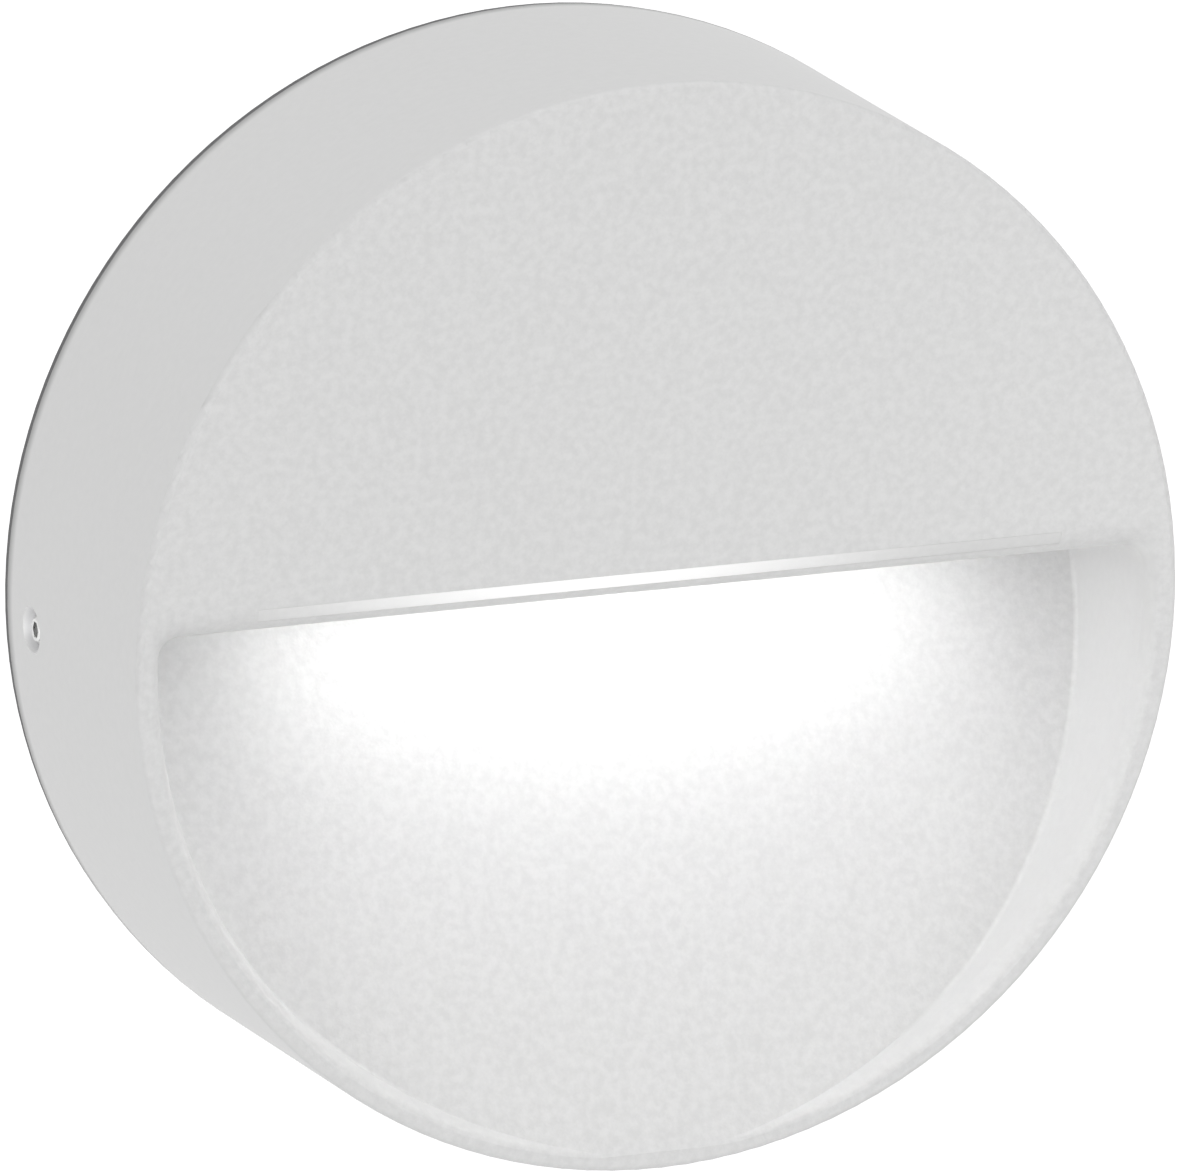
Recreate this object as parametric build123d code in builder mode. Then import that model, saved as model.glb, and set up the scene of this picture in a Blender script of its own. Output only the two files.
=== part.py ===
from build123d import *
import os
from math import asin, cos, degrees, radians, sin, sqrt, tan

os.makedirs("parts", exist_ok=True)

# A round outdoor wall light: a cast drum with a hood above a lit half-moon pocket.
# The wall is the plane Y = 0, the room is on its -Y side and +Z is up. The origin is the
# point where the drum's axis meets the wall. "out" is a distance from the wall into the room.

# Drum
drum_d = 150.0              # across the drum at the wall
projection = 49.0           # wall to front face
side_draft = 1.3            # degrees
rim_round = 0.9             # outer edge of the front face
rear_skin = 3.6             # cast wall round the wiring space
shelf_w = 3.0               # step that the rear cover seals on
front_wall = 3.5
wall_gasket_t = 1.5
wall_gasket_inset = 0.2     # gasket edges inside the drum's rear rim

# Half-moon pocket below the hood
mouth_rim = 3.6             # front face left round the pocket
mouth_round = 1.7           # run of the mouth's rounding, as deep as the lip's
mouth_lean = 0.05           # inward run of the rounding's foot, for each unit of depth
lip_lean = 0.03
flare_steps = 6             # sections of the rounding
ceiling_z = 4.9             # hood underside, above the drum's axis
lip_round = 3.9             # lower front edge of the hood
corner_r = 3.2              # between the hood underside and the pocket wall
pocket_draft = 1.5          # degrees
floor_depth = 0.4           # pocket depth at its lowest point
floor_round = 0.6
floor_wall = 2.5            # thickness of the floor, along the drum's axis
floor_back_gap = 0.9        # slanted back in front of the cover seal's seat
ceiling_wall = 1.2

# Light line and light window in the hood
diffuser_inset = 13.13      # diffuser's ends, from the mouth's corners
diffuser_t = 1.7
diffuser_gasket_t = 0.4
diffuser_lap = 2.0          # behind the light window
window_end = 7.0            # diffuser beyond each end of the window
window_rear_gap = 4.0       # window from the pocket floor
window_front_gap = 3.0      # window from the hood's front wall
window_corner = 2.0
window_gasket_gap = 0.5     # gasket edge outside the light window
slot_fit = 0.02

# Light source
box_end_lap = 5.0           # reflector frame beyond the window's ends
box_side_lap = 1.5          # and beyond its sides
box_h = 12.0
box_wall = 2.0
box_taper = 3.0             # how far each side leans in towards the board
board_end = 9.0             # board beyond each end of the frame
board_side_gap = 0.5        # board inside the frame's sides
board_t = 1.6
board_corner = 1.0
chip_size = 3.0
chip_h = 0.8
chip_count = 12
chip_end_gap = 4.5          # outer chips from the frame's ends
carrier_t = 2.0
carrier_h = 18.6            # upright leg above the board
carrier_shoulder = 15.0     # upright leg inside the board's ends
carrier_overhang = 1.5      # shelf leg behind the board
thermal_pad_t = 0.6
carrier_screw_inset = 16.0  # from the upright leg's ends
connector_w = 5.0
connector_h = 4.0
connector_edge = 0.6
connector_inset = 1.0       # rear end inside the board's rear edge
connector_pin = 1.2         # pins either side of the connector's middle

# Rear cover and its screws
wiring_share = 2 / 7        # wall to the cover's rear face, of the projection
cover_t = 2.4
cover_seal_t = 1.2
cover_fit = 0.3
cover_edge = 0.6
pad_h = 1.5                 # raised pads on the cover's rear face
pad_margin = 1.0            # pad round the terminal block
pad_corner = 1.5
boss_d = 9.0
boss_inset = 3.9            # boss centres inside the gear chamber's wall
cover_screw_count = 6
cover_screw_start = 30.0    # degrees
cover_screw_bite = 6.0      # thread length in a boss
cover_thread_depth = 8.0

# Driver
driver_end_gap = 30.4       # driver's ends, from the gear chamber's wall
driver_h = 22.0
driver_front_gap = 4.3      # to the heads of the carrier screws
driver_round = 1.5
driver_lid_t = 1.5
driver_lid_edge = 0.6
lug_l = 8.0
lug_w = 10.0
lug_t = 3.0
lug_rise = 3.0              # lugs above the driver's middle

# Supply terminals on the cover's rear face
pole_count = 3
pole_pitch = 11.0
pole_w = 6.2
pole_h = 9.5
pole_corner = 0.8
block_w = 18.0
block_drop = 3.2            # middle pole below the driver's middle
web_w = 10.8
web_h = 4.0
wire_h = 5.0                # wire holes above the block's base
sleeve_d = 5.0
sleeve_bore = 2.6
sleeve_recess = 1.0
clamp_screw_x = 4.5
clamp_screw_d = 2.6
clamp_screw_sink = 0.5      # below the pole's top
clamp_slot_w = 0.6
clamp_slot_depth = 0.8

# Leads
mains_lead_d = 2.2
led_lead_d = 1.6
lead_insert = 5.0           # length of lead inside a terminal
grommet_gap = 6.0           # grommet's middle beyond the driver's end
grommet_drop = 8.0          # and below the lowest pole
grommet_d = 9.0             # hole in the cover
grommet_flange = 1.5
grommet_flange_t = 1.2
lead_gap = 2.8              # between the two leads in the grommet
lead_fit = 0.05
neutral_drop = 8.0          # lead entries below the driver's middle
live_drop = 4.0
mains_run = 5.6             # leads inside the chamber, from the cover
positive_run = 5.4
negative_run = 2.8
positive_side = 6.0         # downward runs, from the driver's end
negative_side = 9.0
neutral_bends = [12.0, 4.0, 4.0, 3.0]
live_bends = [10.0, 4.0, 4.0, 4.0]
earth_bends = [5.0, 5.0]
led_bends = [3.0, 3.0, 3.0]

# Earth bond
earth_run = 21.0            # earth screw from the terminal block's end
earth_pad_d = 10.0
earth_tag_d = 8.0
earth_tag_t = 0.8
earth_barrel_d = 3.4
earth_barrel_l = 5.0
earth_barrel_gap = 1.0      # barrel from the ring
earth_straight = 2.0        # straight run of the lead at both ends

# Wall bracket
strap_t = 2.0
strap_w = 40.0
ear_w = 20.0
ear_gap = 2.4               # ear to drum wall
ear_clear = 0.5             # ear tip to rear cover
bend_r = 1.5
strap_shoulder = 15.0       # strap at its full width, up to this far from the ears
strap_neck = 8.0
slot_span = 90.0
slot_l = 12.0
slot_w = 5.2
dome_d = 34.0               # raised seat of the cable grommet
dome_h = 2.5
cable_hole_d = 16.0
cable_bore_d = 9.0
cable_flange = 2.0
cable_flange_t = 1.5

# Side set screws
set_tip_gap = 3.2           # screw's middle from the ear's tip
set_z = -2.0
set_thread_d = 4.0
set_fit = 0.05              # radial play in the thread
set_mouth_d = 6.4
set_mouth_angle = 90.0      # degrees
set_sink = 0.5              # screw end below the drum's side
set_shoulder_gap = 0.15
set_point_d = 2.5
set_point_l = 2.4
notch_fit = 0.2
hex_af = 2.0
hex_depth = 2.2

# Machine screws: thread, head across, head height
m3 = (3.0, 5.6, 2.2)
m25 = (2.5, 4.6, 1.8)
m4 = (4.0, 8.0, 2.6)
head_round = 0.4            # shares of the head's height or width
cross_l = 0.55
cross_w = 0.13
cross_depth = 0.5
tip_chamfer = 0.12          # share of the thread
thread_share = 0.7          # depth of a blind thread, as a share of its wall
thread_fit = 0.05
clear_fit = 0.2
tip_room = 0.4              # blind hole beyond a screw's tip
weld = 1.0                  # overlap that joins two features of one casting


def facing_room(out):
    return Plane.XZ.offset(out)


def facing_wall(out):
    return Plane(origin=(0, -out, 0), x_dir=(-1, 0, 0), z_dir=(0, 1, 0))


def drum_side_r(out):
    return drum_r - (out - wall_gasket_t) * tan(radians(side_draft))


def floor_out(z):
    return projection - floor_depth - (z + mouth_r) * floor_slope


def floor_back_out(z):
    return floor_out(z) - floor_wall


def mouth_section(turn):
    # half-moon outline of the mouth, where its rounding has turned this far from the front face
    depth = lip_round * (1 - cos(turn))
    stand_back = 1 - sin(turn)
    radius = mouth_r - depth * mouth_lean + mouth_round * stand_back
    top = ceiling_z - depth * lip_lean + lip_round * stand_back
    half = sqrt(radius**2 - top**2)
    with BuildSketch(facing_room(projection - depth)) as outline:
        with BuildLine():
            ThreePointArc((half, top), (0, -radius), (-half, top))
            Line((-half, top), (half, top))
        make_face()
        fillet(outline.vertices(), corner_r)
    return outline.sketch.face()


def save(piece, name):
    piece.part.label = name
    export_step(piece.part, f"parts/{name}.step")


def machine_screw(size, length):
    # Pan head above the local XY plane, shank below it
    thread_d, head_d, head_h = size
    with BuildPart() as screw:
        Cylinder(head_d / 2, head_h, align=(Align.CENTER, Align.CENTER, Align.MIN))
        fillet(screw.edges().sort_by(Axis.Z)[-1], head_h * head_round)
        with BuildSketch(Plane.XY.offset(head_h)):
            Rectangle(head_d * cross_l, head_d * cross_w)
            Rectangle(head_d * cross_w, head_d * cross_l)
        extrude(amount=-head_h * cross_depth, mode=Mode.SUBTRACT)
        with BuildSketch(Plane.XY):
            Circle(thread_d / 2 - thread_fit)
        extrude(amount=-length)
        chamfer(screw.faces().sort_by(Axis.Z)[0].edges(), thread_d * tip_chamfer)
    return screw.part


def lead(points, diameter, radii):
    # Round lead along straight runs and arcs; the points are (x, out, z)
    with BuildPart() as wire:
        with BuildLine() as route:
            FilletPolyline(*[(x, -out, z) for x, out, z in points], radius=radii)
        with BuildSketch(Plane(origin=route.line @ 0, z_dir=route.line % 0)):
            Circle(diameter / 2)
        sweep()
    return wire


# Levels worked out from the sizes above
drum_r = drum_d / 2
wiring_depth = projection * wiring_share
recess_r = drum_r - rear_skin
chamber_r = recess_r - shelf_w
seal_out = wiring_depth + cover_t
seat_out = seal_out + cover_seal_t
front_in = projection - front_wall
front_r = drum_r - (projection - wall_gasket_t) * tan(radians(side_draft))
chamber_front_r = chamber_r - (front_in - seat_out) * tan(radians(side_draft))
mouth_r = front_r - mouth_rim
boss_ring_r = chamber_r - boss_inset
cover_r = recess_r - cover_fit
pad_out = wiring_depth - pad_h

lining_top = ceiling_z + ceiling_wall
diffuser_z = lining_top + diffuser_gasket_t
diffuser_top = diffuser_z + diffuser_t
lip_top = ceiling_z + lip_round
lip_in = projection - lip_round
mouth_half = sqrt(mouth_r**2 - ceiling_z**2)
floor_rise = projection - floor_depth - floor_wall - seat_out - floor_back_gap
floor_slope = floor_rise / (lining_top + mouth_r)
pocket_reach = floor_depth + (ceiling_z + mouth_r) * floor_slope + weld
core_out = projection + 2 * mouth_round
lining_foot = (projection - floor_depth - floor_wall - front_in - weld) / floor_slope - mouth_r

diffuser_l = 2 * (mouth_half - diffuser_inset)
window_l = diffuser_l - 2 * window_end
window_rear = floor_out(ceiling_z) + window_rear_gap
window_front = front_in - window_front_gap
window_w = window_front - window_rear
window_out = (window_front + window_rear) / 2
diffuser_rear_out = window_rear - diffuser_lap
box_l = window_l + 2 * box_end_lap
box_w = window_w + 2 * box_side_lap
box_top_l = box_l - 2 * box_taper
box_top_w = box_w - 2 * box_taper
board_l = box_top_l + 2 * board_end
board_w = box_top_w - 2 * board_side_gap
chip_span = box_top_l - 2 * box_wall - 2 * chip_end_gap - chip_size
chip_pitch = chip_span / (chip_count - 1)

carrier_thread = front_wall * thread_share
board_z = diffuser_top + box_h
board_top = board_z + board_t
carrier_face = front_in - thermal_pad_t
carrier_rear = window_out - board_w / 2 - carrier_overhang
carrier_screw_z = board_top + carrier_t + carrier_h / 2
carrier_upright_w = board_l - 2 * carrier_shoulder
carrier_screw_span = carrier_upright_w - 2 * carrier_screw_inset
connector_l = board_w / 2 - connector_inset
connector_x = -board_l / 2 + connector_w / 2
connector_out = window_out - board_w / 2 + connector_inset

boss_low = boss_ring_r - boss_d / 2
driver_l = 2 * (chamber_r - driver_end_gap)
driver_z = (board_top + carrier_t + boss_low) / 2
driver_front = carrier_face - carrier_t - m3[2] - driver_front_gap
driver_depth = driver_front - seal_out
lug_x = driver_l / 2 + lug_l / 2
lug_z = driver_z + lug_rise
block_z = driver_z - block_drop
pole_zs = [block_z + (i - (pole_count - 1) / 2) * pole_pitch for i in range(pole_count)]
wire_out = pad_out - wire_h
web_top = pad_out - web_h
grommet_x = driver_l / 2 + grommet_gap
grommet_z = pole_zs[0] - grommet_drop
earth_x = block_w / 2 + earth_run
ear_x = recess_r - ear_gap
ear_tip = wiring_depth - ear_clear
set_out = ear_tip - set_tip_gap
strap_neck_x = ear_x - strap_neck
strap_shoulder_x = ear_x - strap_shoulder
dome_top = dome_h + strap_t

# Walls of the pocket: all of the gear chamber that lies in front of the slanted back
with BuildPart() as pocket_lining:
    with BuildSketch(Plane.YZ):
        Polygon(
            (-front_in - weld, lining_top),
            (-floor_back_out(lining_top), lining_top),
            (-front_in - weld, lining_foot),
            align=None,
        )
    extrude(amount=drum_r, both=True)
    with BuildSketch(facing_room(0)):
        Circle(chamber_r + weld)
    extrude(amount=projection, mode=Mode.INTERSECT)

# Space inside the pocket: a drafted cone cut by the ceiling and the slanted floor. It starts in
# front of the drum, because the floor runs out at the mouth's lowest point.
with BuildPart() as pocket_core:
    with BuildSketch(facing_wall(core_out)):
        Circle(mouth_r + (core_out - projection) * tan(radians(pocket_draft)))
    extrude(amount=core_out - projection + pocket_reach, taper=pocket_draft)
    with BuildSketch(Plane.YZ):
        Polygon(
            (-core_out, ceiling_z),
            (-floor_out(ceiling_z), ceiling_z),
            (-floor_out(-drum_r), -drum_r),
            (-core_out, -drum_r),
            align=None,
        )
    extrude(amount=drum_r, both=True, mode=Mode.INTERSECT)
    ceiling_edges = pocket_core.faces().sort_by(Axis.Z)[-1].edges()
    fillet(ceiling_edges.filter_by(Axis.X, reverse=True), corner_r)
    floor_face = pocket_core.faces().filter_by(GeomType.PLANE).sort_by(Axis.Y)[-1]
    fillet(floor_face.edges().filter_by(Axis.X, reverse=True), floor_round)

# Rounding of the pocket's mouth: wide along the hood's lip, narrow round the rim
with BuildPart() as mouth_flare:
    loft([mouth_section(radians(90 * step / flare_steps)) for step in range(flare_steps + 1)])
    with BuildSketch(Plane.YZ):
        Polygon(
            (-core_out, drum_r),
            (-floor_out(drum_r), drum_r),
            (-floor_out(-drum_r), -drum_r),
            (-core_out, -drum_r),
            align=None,
        )
    extrude(amount=drum_r, both=True, mode=Mode.INTERSECT)

# Cast drum with hood, pocket, cover bosses and side screw holes
with BuildPart() as housing:
    with BuildSketch(Plane.YZ):
        Polygon(
            (-wall_gasket_t, recess_r),
            (-wall_gasket_t, drum_r),
            (-projection, front_r),
            (-projection, 0),
            (-front_in, 0),
            (-front_in, chamber_front_r),
            (-seat_out, chamber_r),
            (-seat_out, recess_r),
            align=None,
        )
    revolve(axis=Axis.Y)
    fillet(housing.faces().sort_by(Axis.Y)[0].edges(), rim_round)
    with BuildSketch(facing_room(seat_out)):
        with PolarLocations(boss_ring_r, cover_screw_count, start_angle=cover_screw_start):
            Circle(boss_d / 2)
    extrude(amount=front_in - seat_out + weld)
    add(pocket_lining.part)
    add(pocket_core.part, mode=Mode.SUBTRACT)
    add(mouth_flare.part, mode=Mode.SUBTRACT)
    # slot for the diffuser's front edge
    with BuildSketch(facing_room(front_in - weld)):
        with Locations((0, (diffuser_z + diffuser_top) / 2)):
            Rectangle(diffuser_l + 2 * slot_fit, diffuser_t + 2 * slot_fit)
    extrude(amount=front_wall + 2 * weld, mode=Mode.SUBTRACT)
    # light window in the pocket ceiling
    with BuildSketch(Plane.XY.offset(ceiling_z - weld)):
        with Locations((0, -window_out)):
            RectangleRounded(window_l, window_w, window_corner)
    extrude(amount=ceiling_wall + 2 * weld, mode=Mode.SUBTRACT)
    # threads for the cover screws and the carrier screws
    with BuildSketch(facing_room(seat_out)):
        with PolarLocations(boss_ring_r, cover_screw_count, start_angle=cover_screw_start):
            Circle(m3[0] / 2)
    extrude(amount=cover_thread_depth, mode=Mode.SUBTRACT)
    with BuildSketch(facing_room(front_in)):
        with Locations((0, carrier_screw_z)):
            with GridLocations(carrier_screw_span, 1, 2, 1):
                Circle(m3[0] / 2)
    extrude(amount=carrier_thread, mode=Mode.SUBTRACT)
    # side screws
    set_face_x = sqrt(drum_side_r(set_out) ** 2 - set_z**2)
    for side in (-1, 1):
        mouth = Plane(origin=(side * (set_face_x + weld), -set_out, set_z), z_dir=(side, 0, 0))
        with Locations(mouth):
            CounterSinkHole(
                set_thread_d / 2,
                set_mouth_d / 2 + weld,
                rear_skin + 2 * weld,
                set_mouth_angle,
            )
save(housing, "housing")

# Soft ring between the drum's rear rim and the wall
with BuildPart() as wall_gasket:
    with BuildSketch(facing_room(0)):
        Circle(drum_r - wall_gasket_inset)
        Circle(recess_r + wall_gasket_inset, mode=Mode.SUBTRACT)
    extrude(amount=wall_gasket_t)
save(wall_gasket, "wall_gasket")

# Opal strip: covers the light window, and its front edge follows the hood's lip
with BuildPart() as diffuser:
    with BuildSketch(Plane.YZ):
        with BuildLine():
            edge_start = degrees(asin((lip_top - diffuser_top) / lip_round))
            edge_end = degrees(asin((lip_top - diffuser_z) / lip_round))
            edge = CenterArc((-lip_in, lip_top), lip_round, 180 + edge_start, edge_end - edge_start)
            Polyline(
                edge @ 1,
                (-diffuser_rear_out, diffuser_z),
                (-diffuser_rear_out, diffuser_top),
                edge @ 0,
            )
        make_face()
    extrude(amount=diffuser_l / 2, both=True)
save(diffuser, "diffuser")

# Flat seal round the light window, under the diffuser
with BuildPart() as diffuser_gasket:
    with BuildSketch(Plane.XY.offset(lining_top)):
        with Locations((0, -(diffuser_rear_out + front_in) / 2)):
            Rectangle(diffuser_l, front_in - diffuser_rear_out - 2 * slot_fit)
        with Locations((0, -window_out)):
            RectangleRounded(
                window_l + 2 * window_gasket_gap,
                window_w + 2 * window_gasket_gap,
                window_corner,
                mode=Mode.SUBTRACT,
            )
    extrude(amount=diffuser_gasket_t)
save(diffuser_gasket, "diffuser_gasket")

# White reflector frame between the diffuser and the board, leaning in towards the board
with BuildPart() as light_box:
    with BuildSketch(Plane.XY.offset(diffuser_top)):
        with Locations((0, -window_out)):
            Rectangle(box_l, box_w)
    with BuildSketch(Plane.XY.offset(board_z)):
        with Locations((0, -window_out)):
            Rectangle(box_top_l, box_top_w)
    loft()
    with BuildSketch(Plane.XY.offset(diffuser_top)):
        with Locations((0, -window_out)):
            Rectangle(box_l - 2 * box_wall, box_w - 2 * box_wall)
    with BuildSketch(Plane.XY.offset(board_z)):
        with Locations((0, -window_out)):
            Rectangle(box_top_l - 2 * box_wall, box_top_w - 2 * box_wall)
    loft(mode=Mode.SUBTRACT)
save(light_box, "light_box")

# Metal-core board, facing down, with its row of chips and a push-in connector at one end
board_screw_x = board_l / 2 - m25[1] / 2 - slot_fit
board_screw_out = window_out + board_w / 2 - m25[1] / 2
with BuildPart() as led_board:
    with BuildSketch(Plane.XY.offset(board_z)):
        with Locations((0, -window_out)):
            RectangleRounded(board_l, board_w, board_corner)
        with Locations((-board_screw_x, -board_screw_out), (board_screw_x, -board_screw_out)):
            Circle(m25[0] / 2 + clear_fit, mode=Mode.SUBTRACT)
    extrude(amount=board_t)
save(led_board, "led_board")

with BuildPart() as led_chips:
    with BuildSketch(Plane.XY.offset(board_z)):
        with Locations((0, -window_out)):
            with GridLocations(chip_pitch, 1, chip_count, 1):
                Rectangle(chip_size, chip_size)
    extrude(amount=-chip_h)
save(led_chips, "led_chips")

with BuildPart() as board_connector:
    with BuildSketch(facing_room(connector_out)):
        with Locations((connector_x, board_z - connector_h / 2)):
            Rectangle(connector_w, connector_h)
    extrude(amount=connector_l)
    fillet(board_connector.edges().filter_by(Axis.Y).group_by(Axis.Z)[0], connector_edge)
save(board_connector, "board_connector")

with BuildPart(Plane.XY.offset(board_z).rotated((180, 0, 0))) as board_screws:
    with Locations((-board_screw_x, board_screw_out), (board_screw_x, board_screw_out)):
        add(machine_screw(m25, board_t + carrier_t))
save(board_screws, "board_screws")

# Angle plate: its shelf presses the board down, its upright leg takes the heat to the hood
with BuildPart() as led_carrier:
    with BuildSketch(Plane.YZ) as angle:
        with BuildLine():
            Polyline(
                (-carrier_rear, board_top),
                (-carrier_face, board_top),
                (-carrier_face, board_top + carrier_t + carrier_h),
                (-carrier_face + carrier_t, board_top + carrier_t + carrier_h),
                (-carrier_face + carrier_t, board_top + carrier_t),
                (-carrier_rear, board_top + carrier_t),
                close=True,
            )
        make_face()
        fillet(angle.vertices().group_by(Axis.Y)[0].sort_by(Axis.Z)[0], carrier_t)
    extrude(amount=board_l / 2, both=True)
    with BuildSketch(facing_room(carrier_face - carrier_t)):
        with Locations((0, board_top + 2 * carrier_t)):
            with GridLocations(board_l, 1, 2, 1):
                Rectangle(
                    board_l - carrier_upright_w,
                    2 * carrier_h,
                    align=(Align.CENTER, Align.MIN),
                )
    extrude(amount=carrier_t, mode=Mode.SUBTRACT)
    with BuildSketch(facing_room(carrier_face)):
        with Locations((0, carrier_screw_z)):
            with GridLocations(carrier_screw_span, 1, 2, 1):
                Circle(m3[0] / 2 + clear_fit)
    extrude(amount=-carrier_t, mode=Mode.SUBTRACT)
    with BuildSketch(Plane.XY.offset(board_top)):
        with Locations((-board_screw_x, -board_screw_out), (board_screw_x, -board_screw_out)):
            Circle(m25[0] / 2)
    extrude(amount=carrier_t, mode=Mode.SUBTRACT)
save(led_carrier, "led_carrier")

with BuildPart() as thermal_pad:
    with BuildSketch(facing_room(carrier_face)):
        with Locations((0, carrier_screw_z)):
            Rectangle(carrier_upright_w - 2 * carrier_t, carrier_h - 2 * carrier_t)
            with GridLocations(carrier_screw_span, 1, 2, 1):
                Circle(m3[0] / 2 + 2 * clear_fit, mode=Mode.SUBTRACT)
    extrude(amount=thermal_pad_t)
save(thermal_pad, "thermal_pad")

with BuildPart(facing_wall(carrier_face - carrier_t)) as carrier_screws:
    with Locations((0, carrier_screw_z)):
        with GridLocations(carrier_screw_span, 1, 2, 1):
            add(machine_screw(m3, carrier_t + thermal_pad_t + carrier_thread - tip_room))
save(carrier_screws, "carrier_screws")

# Round cover with raised pads for the terminals, the earth screw and the driver's screws
block_l = pole_pitch * (pole_count - 1) + pole_w
earth_z = pole_zs[-1]
web_zs = [(low + high) / 2 for low, high in zip(pole_zs, pole_zs[1:])]
blind_depth = pad_h + cover_t * thread_share
with BuildPart() as rear_cover:
    with BuildSketch(facing_room(wiring_depth)):
        Circle(cover_r)
    extrude(amount=cover_t)
    chamfer(rear_cover.faces().sort_by(Axis.Y)[-1].edges(), cover_edge)
    with BuildSketch(facing_room(pad_out)):
        with Locations((0, block_z)):
            RectangleRounded(block_w + 2 * pad_margin, block_l + 2 * pad_margin, pad_corner)
        with Locations((earth_x, earth_z)):
            Circle(earth_pad_d / 2)
        with Locations((-lug_x, lug_z), (lug_x, lug_z)):
            Circle(lug_l / 2)
    extrude(amount=pad_h)
    with BuildSketch(facing_room(wiring_depth)):
        with PolarLocations(boss_ring_r, cover_screw_count, start_angle=cover_screw_start):
            Circle(m3[0] / 2 + clear_fit)
        with Locations((grommet_x, grommet_z)):
            Circle(grommet_d / 2)
    extrude(amount=cover_t, mode=Mode.SUBTRACT)
    with BuildSketch(facing_room(pad_out)):
        with Locations(*[(0, z) for z in web_zs]):
            Circle(m25[0] / 2)
        with Locations((earth_x, earth_z)):
            Circle(m4[0] / 2)
    extrude(amount=blind_depth, mode=Mode.SUBTRACT)
    with BuildSketch(facing_room(seal_out)):
        with Locations((-lug_x, lug_z), (lug_x, lug_z)):
            Circle(m3[0] / 2)
    extrude(amount=-blind_depth, mode=Mode.SUBTRACT)
save(rear_cover, "rear_cover")

# Seal on the shelf, with an eyelet round each cover screw
with BuildPart() as cover_seal:
    with BuildSketch(facing_room(seal_out)):
        Circle(cover_r)
        Circle(chamber_r + slot_fit, mode=Mode.SUBTRACT)
        with PolarLocations(boss_ring_r, cover_screw_count, start_angle=cover_screw_start):
            Circle(boss_d / 2)
        with PolarLocations(boss_ring_r, cover_screw_count, start_angle=cover_screw_start):
            Circle(m3[0] / 2 + clear_fit, mode=Mode.SUBTRACT)
    extrude(amount=cover_seal_t)
save(cover_seal, "cover_seal")

with BuildPart(facing_wall(wiring_depth)) as cover_screws:
    with PolarLocations(boss_ring_r, cover_screw_count, start_angle=cover_screw_start):
        add(machine_screw(m3, cover_t + cover_seal_t + cover_screw_bite))
save(cover_screws, "cover_screws")

# Potted driver with two fixing lugs, standing on the inside of the cover
with BuildPart() as driver_case:
    with BuildSketch(facing_room(seal_out)):
        with Locations((0, driver_z)):
            RectangleRounded(driver_l, driver_h, driver_round)
    extrude(amount=driver_depth - driver_lid_t)
    with BuildSketch(facing_room(seal_out)):
        with Locations((0, lug_z)):
            SlotOverall(driver_l + 2 * lug_l, lug_w)
    extrude(amount=lug_t)
    with BuildSketch(facing_room(seal_out)):
        with Locations((-lug_x, lug_z), (lug_x, lug_z)):
            Circle(m3[0] / 2 + clear_fit)
    extrude(amount=lug_t, mode=Mode.SUBTRACT)
save(driver_case, "driver_case")

with BuildPart() as driver_lid:
    with BuildSketch(facing_room(driver_front - driver_lid_t)):
        with Locations((0, driver_z)):
            RectangleRounded(driver_l, driver_h, driver_round)
    extrude(amount=driver_lid_t)
    chamfer(driver_lid.faces().sort_by(Axis.Y)[0].edges(), driver_lid_edge)
save(driver_lid, "driver_lid")

with BuildPart(facing_room(seal_out + lug_t)) as driver_screws:
    with Locations((-lug_x, lug_z), (lug_x, lug_z)):
        add(machine_screw(m3, lug_t + blind_depth - tip_room))
save(driver_screws, "driver_screws")

# Terminal strip: one tower for each pole, joined by lower webs that take the fixing screws
with BuildPart() as terminal_block:
    with BuildSketch(facing_wall(pad_out)):
        with Locations((0, block_z)):
            Rectangle(web_w, block_l)
    extrude(amount=web_h)
    with BuildSketch(facing_wall(pad_out)):
        with Locations(*[(0, z) for z in pole_zs]):
            RectangleRounded(block_w, pole_w, pole_corner)
    extrude(amount=pole_h)
    with BuildSketch(Plane.YZ.offset(-block_w / 2)):
        with Locations(*[(-wire_out, z) for z in pole_zs]):
            Circle(sleeve_d / 2)
    extrude(amount=block_w, mode=Mode.SUBTRACT)
    with BuildSketch(facing_wall(wire_out)):
        with Locations(*[(side * clamp_screw_x, z) for side in (-1, 1) for z in pole_zs]):
            Circle(clamp_screw_d / 2 + 2 * clear_fit)
    extrude(amount=pole_h, mode=Mode.SUBTRACT)
    with BuildSketch(facing_wall(pad_out)):
        with Locations(*[(0, z) for z in web_zs]):
            Circle(m25[0] / 2 + clear_fit)
    extrude(amount=web_h, mode=Mode.SUBTRACT)
save(terminal_block, "terminal_block")

sleeve_l = block_w - 2 * sleeve_recess
with BuildPart() as clamp_sleeves:
    with BuildSketch(Plane.YZ.offset(-sleeve_l / 2)):
        with Locations(*[(-wire_out, z) for z in pole_zs]):
            Circle(sleeve_d / 2)
            Circle(sleeve_bore / 2, mode=Mode.SUBTRACT)
    extrude(amount=sleeve_l)
    with BuildSketch(facing_wall(wire_out)):
        with Locations(*[(side * clamp_screw_x, z) for side in (-1, 1) for z in pole_zs]):
            Circle(clamp_screw_d / 2)
    extrude(amount=sleeve_d, mode=Mode.SUBTRACT)
save(clamp_sleeves, "clamp_sleeves")

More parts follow.
